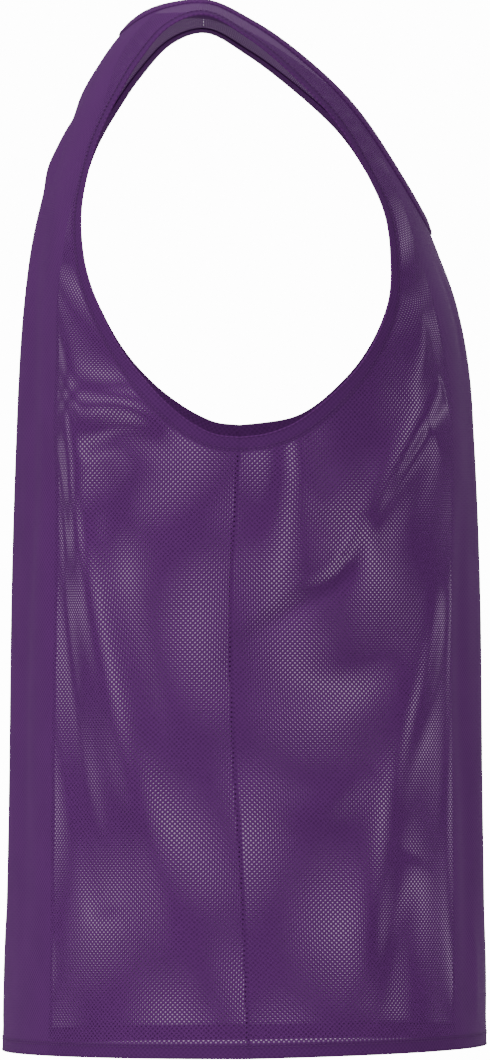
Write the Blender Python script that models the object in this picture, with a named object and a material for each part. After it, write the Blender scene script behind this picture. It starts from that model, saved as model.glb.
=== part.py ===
"""Training bib in its worn shape: a sleeveless vest of two mesh panels, open at neck, arms and hem.

The front and back panel meet at two side seams and two shoulder seams. A binding runs round the
neck on the outside, and the armholes and the bottom are finished with hems turned to the inside.

Each panel is cut flat and then worn: a point of the flat cloth is (across, height), where across
is the distance from the centre line and height the distance up from the bottom edge. The worn
form turns it into a place in space, row by row, and the folds lift it off that form.

All sizes here are millimetres and become metres when a mesh is made. +Z is up, the front faces
-Y and the wearer's left is +X. The origin lies midway between the two straps, at the shoulder
seams, where the wearer's shoulders carry the bib.
"""
from collections import namedtuple

import bpy
import numpy as np
from mathutils.geometry import delaunay_2d_cdt

# ---- driving dimensions -----------------------------------------------------------------------
MM = 0.001                 # metres in a millimetre
HEM_Z = -704.5             # height of the bottom edge, below the shoulders
UNDERARM = 418.0           # flat height of the armhole's lowest point, up the side seam
NECK_HALF = 112.0          # half width of the neck opening at the shoulder seams
STRAP_OUTER = 158.0        # from the centre line to the armhole edge at the shoulder seam
WALL = 1.0                 # thickness of the cloth's wall
SEAM_GAP = 0.3             # clearance between two pieces that are sewn together
HEM_WIDTH = 10.0           # width of the turned hems and of the neck binding
QUARTER = 300.0            # girth units in a quarter of the body, for placing folds
SIDE_Y = -28.0             # the middle of the body, front to back
SEAM_START = (16.0, 1.8)   # second point of an armhole edge: in from the side seam, and up
SHOULDER_REACH = 10.0      # how far past the shoulder seam a panel's form is still worked out
SLOPE_STEP = 2.0           # distance over which the slope of the cloth is measured

# ---- how the bib hangs ------------------------------------------------------------------------
STRAP_SLIP = 8.0           # how far the left strap hangs lower than the right one
STRAP_SLIP_RUN = (190, 40) # below the shoulder seam, where that slip starts and where it is whole
UNDERARM_SLIP = 6.5        # how far the left armhole's lowest part hangs higher
UNDERARM_RUN = (90, 30)    # how far down and how far up that reaches
UNDERARM_FADE = (8, 56)    # forward of the body's middle, where it fades and where it is gone
ARM_SPREAD = 3.5           # how far the left armhole stands open wider, at its front and back
SPREAD_HEIGHT = 580.0      # flat height where it is widest
SPREAD_RUN = 75.0          # how far up and down that reaches
LEFT_RUN = (30, 150)       # left of the centre line, where the left side's hang sets in and is whole
HEM_RISE = 4.0             # how much higher the bottom edge hangs at the front than at the sides
HEM_RISE_DEPTH = 160.0     # forward of the body's middle, where that rise is whole
HEM_RISE_RUN = 150.0       # how far up it reaches

# ---- how finely the cloth is divided ----------------------------------------------------------
ACROSS_STEP = 16.0         # between points across a panel
HEIGHT_STEP = 19.0         # between points up a panel
HEM_STEPS = 20             # along half the bottom edge of a panel
ARMHOLE_STEPS = 26         # along a panel's part of one armhole
NECK_STEPS = {"front": 16, "back": 9}
SHOULDER_STEPS = 2         # along the shoulder seam, between the hems
SEAM_STEPS = 22            # up the side seam, between the hems
NET_COLUMNS = 20           # points across half a panel, before those outside the cut are dropped
EDGE_CLEARANCE = 10.0      # between the points inside the cut and its edge lines
LEVEL_SAMPLES = 161        # heights at which a panel's sections are measured
ANGLE_SAMPLES = 361        # points along each measured section
SHARE_SAMPLES = 201        # even steps that each section's length is divided into
CURVE_FINENESS = 40        # points of a smooth curve for each step that is taken along it
SHARP_ANGLE = 50.0         # degrees between faces beyond which an edge is shaded sharp
TINY = 0.01                # two places or heights closer than this are the same

# ---- the worn form ----------------------------------------------------------------------------
# Each ring is a level section of the body below the arms. A quarter of it runs from the centre
# line of a panel to the side seam, as a rounded square whose fullness is 2 for an ellipse.
Ring = namedtuple("Ring", "z front_y back_y side_x side_y front_full back_full")
RINGS = (
    Ring(HEM_Z, -193.5, 137, 212, -32, 2.25, 2.25),
    Ring(-600, -191.5, 133.5, 210, -28, 2.25, 2.25),
    Ring(-480, -189, 130.5, 208, -21, 2.3, 2.25),
    Ring(-380, -186.5, 128, 206, -20, 2.35, 2.3),
    Ring(-320, -184.5, 126.5, 206, -24, 2.4, 2.3),
    Ring(-285, -183, 125.5, 206, -25, 2.4, 2.35),
    Ring(-250, -181, 124.5, 206, -25, 2.4, 2.35),
)

# Above the arms the sections lean over towards the shoulders. Each row gives its point on the
# centre line, which is cut away above the neck, and its point at the side, inside the armhole.
Yoke = namedtuple("Yoke", "y z side_x side_y side_z full")
YOKES = {
    "front": (
        Yoke(-172.5, -200, 206, -24, -224, 2.4),
        Yoke(-159, -160, 206, -23, -200, 2.35),
        Yoke(-141, -110, 207, -21, -170, 2.3),
        Yoke(-107.5, -54, 210, -17, -119, 2.25),
        Yoke(-77, -24.5, 214, -12, -91, 2.2),
        Yoke(-38, 2, 218, -5, -64, 2.15),
        Yoke(0, 16.5, 220, 0, -46, 2.1),
    ),
    "back": (
        Yoke(121.5, -200, 206, -21, -220, 2.35),
        Yoke(115, -150, 206, -16, -186, 2.3),
        Yoke(102, -100, 207, -10, -150, 2.25),
        Yoke(92, -71, 208.5, -7, -131, 2.22),
        Yoke(78, -44, 210, -4, -106, 2.2),
        Yoke(60, -17, 214, -2, -81, 2.15),
        Yoke(32, 9.5, 218, 0, -58, 2.1),
        Yoke(0, 16.5, 220, 0, -46, 2.1),
    ),
}

# ---- the cut ----------------------------------------------------------------------------------
# The armhole edge from just beyond the side seam up to the shoulder, and the neck edge from the
# centre line out to the shoulder. The last height of each is the shoulder seam's own.
Edge = namedtuple("Edge", "across height")
ARMHOLES = {
    "front": (Edge(264, 425), Edge(241, 439), Edge(221, 456), Edge(186, 500), Edge(156, 543),
              Edge(141, 580), Edge(144, 630), Edge(153, 690), Edge(157, 748)),
    "back": (Edge(258, 427), Edge(237, 443), Edge(219, 462), Edge(188, 507), Edge(160, 550),
             Edge(145, 587), Edge(143, 630), Edge(150, 680), Edge(157, 728)),
}
NECKS = {
    "front": (Edge(0, 569), Edge(22, 571), Edge(45, 578), Edge(66, 593), Edge(83, 618),
              Edge(95, 651), Edge(104, 693), Edge(110, 744)),
    "back": (Edge(0, 715), Edge(30, 718), Edge(57, 727), Edge(83, 739), Edge(103, 755)),
}

# ---- the largest folds ------------------------------------------------------------------------
# A fold follows a route of (girth, height) points. Girth runs from the front's centre line, 0,
# round the wearer's right side, QUARTER at the seam, to the back's centre line, 2 QUARTER, and
# below 0 round the left side. Height is positive for a ridge and negative for a trough.
Fold = namedtuple("Fold", "lift width route")
FOLDS = (
    # right side, back: the long ridge that falls from the shoulder blade to the hem
    Fold(5.5, 17, ((458, 540), (438, 465), (430, 396), (405, 308), (383, 229), (352, 110), (338, 40))),
    Fold(-4.0, 15, ((478, 430), (463, 389), (447, 290), (425, 190), (400, 90))),
    Fold(-3.5, 15, ((405, 400), (385, 309), (358, 229), (335, 134))),
    # right side, under the arm
    Fold(4.0, 12, ((430, 430), (388, 441), (350, 425))),
    Fold(-3.0, 11, ((425, 410), (385, 420), (345, 405))),
    Fold(4.0, 12, ((292, 408), (265, 392), (237, 376), (218, 398))),
    # right side, front: the drag from the chest, the crease below it and the long fall
    Fold(5.5, 15, ((121, 453), (159, 430), (195, 390), (222, 336))),
    Fold(-3.5, 13, ((140, 418), (172, 388), (200, 350))),
    Fold(-5.0, 12, ((215, 368), (223, 328), (255, 311), (292, 280))),
    Fold(-5.0, 18, ((306, 275), (255, 250), (220, 254), (176, 283))),
    Fold(5.0, 17, ((133, 320), (155, 262), (181, 207), (207, 120), (220, 25))),
    Fold(-3.0, 16, ((170, 130), (190, 70), (196, 20))),
    Fold(3.0, 13, ((147, 517), (152, 480), (174, 443))),
    Fold(2.5, 14, ((297, 183), (258, 165), (206, 192))),
    # left side, back
    Fold(4.5, 17, ((-458, 540), (-438, 465), (-430, 396), (-405, 308), (-383, 229), (-352, 110),
                   (-338, 40))),
    Fold(-3.5, 15, ((-478, 430), (-463, 389), (-447, 290), (-425, 190), (-400, 90))),
    Fold(-3.5, 15, ((-405, 400), (-385, 309), (-358, 229), (-335, 134))),
    # left side, under the arm
    Fold(4.0, 12, ((-430, 430), (-388, 441), (-350, 425))),
    Fold(-3.0, 11, ((-425, 410), (-385, 420), (-345, 405))),
    Fold(4.0, 12, ((-292, 408), (-265, 392), (-237, 376), (-218, 398))),
    # left side, front
    Fold(4.5, 15, ((-121, 453), (-159, 430), (-195, 390), (-222, 336))),
    Fold(-3.5, 13, ((-140, 418), (-172, 388), (-200, 350))),
    Fold(-4.0, 12, ((-215, 368), (-223, 328), (-255, 311), (-292, 280))),
    Fold(-4.5, 18, ((-306, 275), (-255, 250), (-220, 254), (-176, 283))),
    Fold(4.0, 17, ((-133, 320), (-155, 262), (-181, 207), (-207, 120), (-220, 25))),
    Fold(-3.0, 16, ((-170, 130), (-190, 70), (-196, 20))),
    Fold(3.0, 13, ((-147, 517), (-152, 480), (-174, 443))),
    Fold(2.5, 14, ((-297, 183), (-258, 165), (-206, 192))),
    # front centre and back centre, soft falls
    Fold(3.0, 20, ((24, 540), (40, 440), (34, 330), (50, 190), (44, 40))),
    Fold(-2.5, 18, ((-30, 500), (-44, 380), (-62, 250), (-56, 60))),
    Fold(2.5, 20, ((-92, 360), (-98, 240), (-112, 110), (-108, 20))),
    Fold(-2.5, 16, ((86, 390), (96, 260), (92, 120), (104, 20))),
    Fold(3.0, 20, ((560, 640), (548, 500), (566, 340), (552, 180), (560, 40))),
    Fold(-3.0, 18, ((520, 560), (506, 400), (516, 240), (498, 60))),
    Fold(3.0, 20, ((-540, 600), (-552, 450), (-530, 300), (-538, 130), (-526, 30))),
    Fold(-3.0, 18, ((-498, 520), (-488, 360), (-500, 200), (-484, 50))),
    # across the back, between the shoulder blades
    Fold(-2.5, 13, ((520, 655), (570, 640), (632, 644), (684, 660))),
    Fold(2.5, 13, ((530, 612), (588, 600), (650, 606))),
)
FOLD_SAMPLES = 16          # stretches along each fold's route
FOLD_TAPER = 0.6           # how softly a fold rises and dies at its ends, 0 for not at all

# ---- colour of the cloth ----------------------------------------------------------------------
MESH_PURPLE = (0.086, 0.042, 0.122, 1.0)
HEM_PURPLE = (0.074, 0.034, 0.104, 1.0)
CLOTH_ROUGHNESS = 0.75


def glide(stations, values, at):
    """Values at the places asked for, on a smooth curve through the stations."""
    stations = np.asarray(stations, float)
    values = np.asarray(values, float)
    at = np.asarray(at, float)
    slope = np.gradient(values, stations, axis=0)
    low = np.clip(np.searchsorted(stations, at, side="right") - 1, 0, len(stations) - 2)
    span = stations[low + 1] - stations[low]
    part = (at - stations[low]) / span
    if values.ndim > 1:
        part, span = part[..., None], span[..., None]
    rest = 1.0 - part
    return ((1.0 + 2.0 * part) * rest ** 2 * values[low] + part * rest ** 2 * span * slope[low]
            + part ** 2 * (3.0 - 2.0 * part) * values[low + 1]
            - part ** 2 * rest * span * slope[low + 1])


def even_points(corners, steps):
    """Points at even distances along a smooth curve through the corners."""
    corners = np.asarray(corners, float)
    reach = np.concatenate([[0.0], np.cumsum(np.linalg.norm(np.diff(corners, axis=0), axis=1))])
    fine = glide(reach, corners, np.linspace(0.0, reach[-1], CURVE_FINENESS * steps + 1))
    length = np.concatenate([[0.0], np.cumsum(np.linalg.norm(np.diff(fine, axis=0), axis=1))])
    wanted = np.linspace(0.0, length[-1], steps + 1)
    return np.stack([np.interp(wanted, length, fine[:, axis]) for axis in (0, 1)], axis=1)


def ease(low, high, value):
    """0 below low and 1 above high, with a smooth rise between."""
    part = np.clip((value - low) / (high - low), 0.0, 1.0)
    return part * part * (3.0 - 2.0 * part)


def unit(vectors):
    return vectors / np.linalg.norm(vectors, axis=-1, keepdims=True)


def fold_lift(girth, height):
    """How far the folds lift the cloth at each (girth, height)."""
    lift = np.zeros(girth.shape)
    whole = 4.0 * QUARTER
    for fold in FOLDS:
        route = even_points(fold.route, FOLD_SAMPLES)
        nearest = np.full(girth.shape, np.inf)
        along = np.zeros(girth.shape)
        for k, (start, stop) in enumerate(zip(route[:-1], route[1:])):
            way = stop - start
            side = girth - start[0]
            side = side - whole * np.round(side / whole)
            climb = height - start[1]
            part = np.clip((side * way[0] + climb * way[1]) / (way @ way), 0.0, 1.0)
            away = np.hypot(side - part * way[0], climb - part * way[1])
            along = np.where(away < nearest, (k + part) / FOLD_SAMPLES, along)
            nearest = np.minimum(away, nearest)
        taper = (4.0 * along * (1.0 - along)) ** FOLD_TAPER
        lift += fold.lift * taper * np.exp(-(nearest / fold.width) ** 2)
    return lift


class WornPanel:
    """One body panel: its cut edges in the flat, and where its cloth lies when it is worn."""

    def __init__(self, name):
        self.name = name
        self.outward = 1.0 if name == "front" else -1.0
        beyond_seam = YOKES["back" if name == "front" else "front"][-2]
        self.rows = np.array(
            [(getattr(r, name + "_y"), r.z, r.side_x, r.side_y, r.z, getattr(r, name + "_full"))
             for r in RINGS] + list(YOKES[name]) + [beyond_seam], float)
        climb = np.hypot(*np.diff(self.rows[:, :2], axis=0).T)
        rings = len(RINGS)
        yoke_heights = self.rows[rings - 1, 1] - HEM_Z + np.cumsum(climb[rings - 1:])
        self.heights = np.concatenate([self.rows[:rings, 1] - HEM_Z, yoke_heights])
        self.top = self.heights[-2]
        self.reach = self.top + SHOULDER_REACH
        self._measure_rows()

    def _measure_rows(self):
        """Tables that turn a distance across a row into the angle round its section."""
        self.levels = np.linspace(0.0, self.reach, LEVEL_SAMPLES)
        angles = np.linspace(0.0, 0.5 * np.pi, ANGLE_SAMPLES)
        level_grid, angle_grid = np.meshgrid(self.levels, angles, indexing="ij")
        points = self._section(level_grid, angle_grid)
        steps = np.linalg.norm(np.diff(points, axis=1), axis=2)
        lengths = np.concatenate([np.zeros((len(self.levels), 1)), np.cumsum(steps, axis=1)], axis=1)
        self.quarters = lengths[:, -1]
        self.shares = np.linspace(0.0, 1.0, SHARE_SAMPLES)
        self.angles = np.array([np.interp(self.shares * row[-1], row, angles) for row in lengths])

    def _section(self, height, angle):
        """The point at an angle round the section at a height, on the +X side."""
        y, z, side_x, side_y, side_z, full = np.moveaxis(glide(self.heights, self.rows, height), -1, 0)
        out = np.sin(angle) ** (2.0 / full)
        back = 1.0 - np.clip(np.cos(angle), 0.0, 1.0) ** (2.0 / full)
        return np.stack([side_x * out, y + (side_y - y) * back, z + (side_z - z) * back], axis=-1)

    def seam(self, height):
        """Distance across the cloth from the centre line to the side seam."""
        return np.interp(height, self.levels, self.quarters)

    def form(self, across, height):
        """The plain worn form, with no folds in it."""
        share = np.clip(np.abs(across) / self.seam(height), 0.0, 1.0) * (len(self.shares) - 1)
        level = height / self.reach * (len(self.levels) - 1)
        i = np.clip(level.astype(int), 0, len(self.levels) - 2)
        j = np.clip(share.astype(int), 0, len(self.shares) - 2)
        u, v = level - i, share - j
        angle = ((1 - u) * (1 - v) * self.angles[i, j] + (1 - u) * v * self.angles[i, j + 1]
                 + u * (1 - v) * self.angles[i + 1, j] + u * v * self.angles[i + 1, j + 1])
        point = self._section(height, angle)
        point[..., 0] *= np.where(across < 0.0, -1.0, 1.0)
        return point

    def _normal(self, place, across, height):
        """Outward direction of a surface that place() describes."""
        limit = self.seam(height)
        left = np.clip(across - SLOPE_STEP, -limit, limit)
        right = np.clip(across + SLOPE_STEP, -limit, limit)
        low = np.clip(height - SLOPE_STEP, 0.0, self.reach)
        high = np.clip(height + SLOPE_STEP, 0.0, self.reach)
        along = place(right, height) - place(left, height)
        share = across / limit
        up = place(share * self.seam(high), high) - place(share * self.seam(low), low)
        return unit(np.cross(along, up)) * self.outward

    def folded(self, across, height):
        """The worn form with its folds, and with its uneven hang at the left and at the hem."""
        point = self.form(across, height)
        share = across / self.seam(height)
        girth = -QUARTER * share
        if self.name == "back":
            girth = np.where(across < 0.0, 1.0, -1.0) * QUARTER * (2.0 - np.abs(share))
        lift = fold_lift(girth, height)
        point = point + lift[..., None] * self._normal(self.form, across, height)
        forward = SIDE_Y - point[..., 1]
        left = ease(*LEFT_RUN, point[..., 0])
        strap = ease(*(self.top - run for run in STRAP_SLIP_RUN), height)
        run = np.where(height < UNDERARM, *UNDERARM_RUN)
        underarm = np.exp(-((height - UNDERARM) / run) ** 2)
        underarm *= 1.0 - ease(*UNDERARM_FADE, forward)
        beside = np.exp(-((height - SPREAD_HEIGHT) / SPREAD_RUN) ** 2)
        rise = np.clip(forward / HEM_RISE_DEPTH, 0.0, 1.0) * np.exp(-height / HEM_RISE_RUN)
        point[..., 2] += left * (UNDERARM_SLIP * underarm - STRAP_SLIP * strap) + HEM_RISE * rise
        point[..., 1] -= ARM_SPREAD * left * beside * self.outward
        return point

    def worn(self, across, height):
        """Where the middle of the cloth lies, and its outward direction."""
        return self.folded(across, height), self._normal(self.folded, across, height)

    def armhole(self):
        """Armhole edge and the inner line of its hem, from the side seam up to the shoulder."""
        seam = float(self.seam(UNDERARM))
        start = (seam - SEAM_START[0], UNDERARM + SEAM_START[1])
        corners = [(seam, UNDERARM), start, *ARMHOLES[self.name], (STRAP_OUTER, self.top)]
        edge = even_points(corners, ARMHOLE_STEPS)
        inner = edge + HEM_WIDTH * self._inward(edge)
        inner[0] = (float(self.seam(UNDERARM - HEM_WIDTH)), UNDERARM - HEM_WIDTH)
        inner[-1] = (STRAP_OUTER - HEM_WIDTH, self.top)
        return edge, inner

    def neck(self):
        """Neck edge and the lower line of its binding, from the shoulder to the centre line."""
        corners = [*NECKS[self.name], (NECK_HALF, self.top)]
        edge = even_points(corners, NECK_STEPS[self.name])[::-1]
        inner = edge + HEM_WIDTH * self._inward(edge)
        inner[0] = (NECK_HALF + HEM_WIDTH, self.top)
        inner[-1] = (0.0, edge[-1][1] - HEM_WIDTH)
        return edge, inner

    def bottom(self):
        """Bottom edge and the upper line of its hem, from the centre line to the side seam."""
        share = np.linspace(0.0, 1.0, HEM_STEPS + 1)
        edge = np.stack([share * self.seam(0.0), np.zeros(len(share))], axis=1)
        inner = np.stack([share * self.seam(HEM_WIDTH), np.full(len(share), HEM_WIDTH)], axis=1)
        return edge, inner

    @staticmethod
    def _inward(edge):
        """Unit directions from an edge into the cloth, in the flat, square to the edge."""
        way = unit(np.gradient(edge, axis=0))
        return np.stack([-way[:, 1], way[:, 0]], axis=1)


def inside(points, loop):
    """Which points lie inside a closed loop, by counting the sides they cross."""
    ahead = np.roll(loop, -1, axis=0)
    x, y = points[:, :1], points[:, 1:]
    spans = (loop[:, 1] > y) != (ahead[:, 1] > y)
    rise = np.where(ahead[:, 1] == loop[:, 1], 1.0, ahead[:, 1] - loop[:, 1])
    crossing = loop[:, 0] + (y - loop[:, 1]) / rise * (ahead[:, 0] - loop[:, 0])
    return (np.sum(spans & (x < crossing), axis=1) % 2) == 1


def clear_of(points, loop, distance):
    """Which points keep at least a distance from every corner of a loop."""
    gaps = np.linalg.norm(points[:, None, :] - loop[None, :, :], axis=2)
    return gaps.min(axis=1) >= distance


def half_cut(panel):
    """Points and triangles of half a panel in the flat, with its hems as strips of their own."""
    bottom, bottom_in = panel.bottom()
    armhole, armhole_in = panel.armhole()
    neck, neck_in = panel.neck()
    seam_heights = np.linspace(HEM_WIDTH, UNDERARM - HEM_WIDTH, SEAM_STEPS + 1)[1:-1]
    side = np.stack([panel.seam(seam_heights), seam_heights], axis=1)
    shoulder = np.linspace(armhole_in[-1], neck_in[0], SHOULDER_STEPS + 1)[1:-1]
    centre_steps = int(round((neck_in[-1][1] - HEM_WIDTH) / HEIGHT_STEP))
    centre = np.linspace(neck_in[-1], bottom_in[0], centre_steps + 1)[1:-1]
    loop = np.concatenate([bottom_in, side, armhole_in, shoulder, neck_in, centre])

    rows = np.arange(HEM_WIDTH + HEIGHT_STEP, panel.top, HEIGHT_STEP)
    net = [(ACROSS_STEP * (k + (0.5 if n % 2 else 1.0)), row)
           for n, row in enumerate(rows) for k in range(NET_COLUMNS)]
    net = np.array(net)
    net = net[inside(net, loop)]
    net = net[clear_of(net, loop, EDGE_CLEARANCE)]

    flat = np.concatenate([loop, net])
    result = delaunay_2d_cdt([tuple(p) for p in flat], [], [list(range(len(loop)))], 1, 1e-6)
    flat = np.array([tuple(v) for v in result[0]])
    faces = [tuple(f) for f in result[2]]

    def strip(edge, inner):
        """Adds a hem's strip between its edge and the inner line that is already there."""
        nonlocal flat
        line = [int(np.argmin(np.linalg.norm(flat - p, axis=1))) for p in inner]
        first = len(flat)
        flat = np.concatenate([flat, edge])
        for k in range(len(edge) - 1):
            a, b = first + k, first + k + 1
            faces.extend([(a, b, line[k + 1]), (a, line[k + 1], line[k])])

    strip(bottom, bottom_in)
    strip(armhole, armhole_in)
    strip(neck, neck_in)
    return flat, faces


def whole_cut(panel):
    """Both halves of a panel in the flat, joined along the centre line."""
    flat, faces = half_cut(panel)
    flat = np.where(np.abs(flat) < TINY, 0.0, flat)
    twin = np.arange(len(flat))
    off_centre = np.nonzero(flat[:, 0] > 0.0)[0]
    twin[off_centre] = len(flat) + np.arange(len(off_centre))
    mirrored = flat[off_centre] * (-1.0, 1.0)
    counter = []
    for a, b, c in faces:
        u, v = flat[b] - flat[a], flat[c] - flat[a]
        counter.append((a, b, c) if u[0] * v[1] - u[1] * v[0] > 0.0 else (a, c, b))
    other = [(int(twin[a]), int(twin[c]), int(twin[b])) for a, b, c in counter]
    return np.concatenate([flat, mirrored]), counter + other


def trimmed(panel, flat):
    """The cut with half the seam gap taken off at the side and shoulder seams."""
    across, height = flat[:, 0].copy(), flat[:, 1].copy()
    limit = panel.seam(height)
    on_seam = (np.abs(np.abs(across) - limit) < TINY) & (height < UNDERARM + TINY)
    across[on_seam] -= np.sign(across[on_seam]) * 0.5 * SEAM_GAP
    height[height > panel.top - TINY] -= 0.5 * SEAM_GAP
    return across, height


def material(name, colour):
    finish = bpy.data.materials.new(name)
    finish.use_nodes = True
    shader = finish.node_tree.nodes["Principled BSDF"]
    shader.inputs["Base Color"].default_value = colour
    shader.inputs["Roughness"].default_value = CLOTH_ROUGHNESS
    shader.inputs["Metallic"].default_value = 0.0
    return finish


def add_solid(name, points, faces, colour):
    """A named object from points in millimetres and faces that point outwards."""
    mesh = bpy.data.meshes.new(name)
    mesh.from_pydata((points * MM).tolist(), [], faces)
    mesh.materials.append(material(name, colour))
    mesh.shade_smooth()
    mesh.set_sharp_from_angle(angle=np.radians(SHARP_ANGLE))
    bpy.context.scene.collection.objects.link(bpy.data.objects.new(name, mesh))


def add_panel(panel):
    """The panel's wall: outer skin, inner skin and the cut edge between them."""
    flat, faces = whole_cut(panel)
    if panel.outward < 0.0:
        faces = [(a, c, b) for a, b, c in faces]
    middle, normal = panel.worn(*trimmed(panel, flat))
    count = len(flat)
    points = np.concatenate([middle + 0.5 * WALL * normal, middle - 0.5 * WALL * normal])
    directed = {(f[k], f[(k + 1) % 3]) for f in faces for k in range(3)}
    rim = [(a, b) for a, b in directed if (b, a) not in directed]
    solid = list(faces)
    solid += [(a + count, c + count, b + count) for a, b, c in faces]
    for a, b in sorted(rim):
        solid += [(a, a + count, b + count), (a, b + count, b)]
    add_solid(panel.name + "_panel", points, solid, MESH_PURPLE)


def stretch(panel, lines, side, forward):
    """A hem's two lines on one side of a panel: places and outward directions, and its way."""
    mirror = np.array((side, 1.0))
    worn = [np.stack(panel.worn(*(line * mirror).T), axis=1) for line in lines]
    rungs = np.stack(worn, axis=1)
    return (rungs if forward else rungs[::-1]), forward


def closed_ring(*stretches):
    """Joins stretches end to end, averaging the points and directions where two of them meet.

    The second list says for each step round the ring whether it runs the way its panel was cut.
    """
    ring, ways = [], []
    for k, (rungs, forward) in enumerate(stretches):
        joint = 0.5 * (stretches[k - 1][0][-1] + rungs[0])
        joint[:, 1] = unit(joint[:, 1])
        ring.append(joint)
        ring.extend(rungs[1:-1])
        ways.extend([forward] * (len(rungs) - 1))
    return np.array(ring), ways


def add_hem(name, ring, ways, near, far):
    """A flat strip round a ring of rungs, between two distances from the cloth's middle.

    Its faces are split along the same diagonals as the panel's, so that they lie parallel.
    """
    count = len(ring)
    place, away = ring[:, :, 0], ring[:, :, 1]
    edge_near, inner_near, inner_far, edge_far = range(4)
    points = np.concatenate([place[:, 0] + near * away[:, 0], place[:, 1] + near * away[:, 1],
                             place[:, 1] + far * away[:, 1], place[:, 0] + far * away[:, 0]])
    faces = []
    for i, forward in enumerate(ways):
        j = (i + 1) % count
        for a, b in ((edge_near, inner_near), (inner_near, inner_far),
                     (inner_far, edge_far), (edge_far, edge_near)):
            quad = [a * count + i, a * count + j, b * count + j, b * count + i]
            from_edge = a in (edge_near, edge_far)
            if forward != from_edge:
                quad = quad[1:] + quad[:1]
            faces += [(quad[0], quad[1], quad[2]), (quad[0], quad[2], quad[3])]
    corner = points[np.array(faces)]
    volume = np.sum(corner[:, 0] * np.cross(corner[:, 1], corner[:, 2]))
    if volume < 0.0:
        faces = [(a, c, b) for a, b, c in faces]
    add_solid(name, points, faces, HEM_PURPLE)


def build():
    for thing in list(bpy.data.objects):
        bpy.data.objects.remove(thing)

    front, back = WornPanel("front"), WornPanel("back")
    for panel in (front, back):
        add_panel(panel)

    near = 0.5 * WALL + SEAM_GAP
    far = near + WALL
    left, right = 1.0, -1.0
    for name, side in (("left", left), ("right", right)):
        ring, ways = closed_ring(stretch(front, front.armhole(), side, True),
                                 stretch(back, back.armhole(), side, False))
        add_hem("armhole_hem_" + name, ring, ways, -near, -far)

    for name, front_lines, back_lines, inner, outer in (
            ("neck_binding", front.neck(), back.neck(), near, far),
            ("bottom_hem", front.bottom(), back.bottom(), -near, -far)):
        start = name == "neck_binding"
        ring, ways = closed_ring(
            stretch(front, front_lines, right, start), stretch(front, front_lines, left, not start),
            stretch(back, back_lines, left, start), stretch(back, back_lines, right, not start))
        add_hem(name, ring, ways, inner, outer)


build()
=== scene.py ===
"""A mesh training bib in its worn shape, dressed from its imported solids, with a small photo studio.

The bib is two panels of warp-knitted polyester mesh sewn at the sides and shoulders. The armholes
and the bottom have hems turned to the inside, and the neck has a folded binding. Each panel is cut
flat and then worn: a point of the flat cloth is (across, height) in millimetres, and the worn form
gives it a place in space, as the solids do. Here the same form is worked out finer, with the
smaller creases, the holes of the mesh, the folded edges, the seams and the stitches.

+Z is up, the front faces -Y and the wearer's left is +X. Tables and functions that shape the cloth
work in millimetres, and meshes are made in metres.
"""
import math
from collections import namedtuple

import bmesh
import bpy
import numpy as np
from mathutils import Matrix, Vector
from mathutils.geometry import delaunay_2d_cdt


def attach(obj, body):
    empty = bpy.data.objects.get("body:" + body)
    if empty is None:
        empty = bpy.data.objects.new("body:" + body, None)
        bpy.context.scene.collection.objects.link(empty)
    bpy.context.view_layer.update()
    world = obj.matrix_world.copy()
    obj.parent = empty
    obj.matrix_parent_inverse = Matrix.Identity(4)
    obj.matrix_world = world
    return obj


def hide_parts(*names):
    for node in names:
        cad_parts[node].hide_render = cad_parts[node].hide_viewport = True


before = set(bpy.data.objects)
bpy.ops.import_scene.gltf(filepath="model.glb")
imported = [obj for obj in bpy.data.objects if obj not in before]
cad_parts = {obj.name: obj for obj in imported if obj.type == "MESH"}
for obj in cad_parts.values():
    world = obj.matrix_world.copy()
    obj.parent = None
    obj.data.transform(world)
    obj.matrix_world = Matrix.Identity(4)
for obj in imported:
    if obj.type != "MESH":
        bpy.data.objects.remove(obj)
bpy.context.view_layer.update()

bl_info = {
    "name": "Training Bib",
    "version": (1, 0, 0),
    "blender": (4, 5, 0),
    "location": "3D Viewport > Sidebar > Bib",
    "description": "Builds a worn mesh training bib with hems, seams and stitches, and a studio",
    "category": "Object",
}

# ---- the worn form, as in the solids ------------------------------------------------------------
MM = 0.001                 # metres in a millimetre
HEM_Z = -704.5             # height of the bottom edge, below the shoulders
UNDERARM = 418.0           # flat height of the armhole's lowest point, up the side seam
NECK_HALF = 112.0          # half width of the neck opening at the shoulder seams
STRAP_OUTER = 158.0        # from the centre line to the armhole edge at the shoulder seam
QUARTER = 300.0            # girth units in a quarter of the body, for placing folds
SIDE_Y = -28.0             # the middle of the body, front to back
SEAM_START = (16.0, 1.8)   # second point of an armhole edge: in from the side seam, and up
SHOULDER_REACH = 10.0      # how far past the shoulder seam a panel's form is still worked out
SLOPE_STEP = 2.0           # distance over which the slope of the cloth is measured
STRAP_SLIP = 8.0           # how far the left strap hangs lower than the right one
STRAP_SLIP_RUN = (190, 40) # below the shoulder seam, where that slip starts and where it is whole
UNDERARM_SLIP = 6.5        # how far the left armhole's lowest part hangs higher
UNDERARM_RUN = (90, 30)    # how far down and how far up that reaches
UNDERARM_FADE = (8, 56)    # forward of the body's middle, where it fades and where it is gone
ARM_SPREAD = 3.5           # how far the left armhole stands open wider, at its front and back
SPREAD_HEIGHT = 580.0      # flat height where it is widest
SPREAD_RUN = 75.0          # how far up and down that reaches
LEFT_RUN = (30, 150)       # left of the centre line, where the left hang sets in and is whole
HEM_RISE = 4.0             # how much higher the bottom edge hangs at the front than at the sides
HEM_RISE_DEPTH = 160.0     # forward of the body's middle, where that rise is whole
HEM_RISE_RUN = 150.0       # how far up it reaches
LEVEL_SAMPLES = 161        # heights at which a panel's sections are measured
ANGLE_SAMPLES = 361        # points along each measured section
SHARE_SAMPLES = 201        # even places that each section's length is divided at
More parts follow.
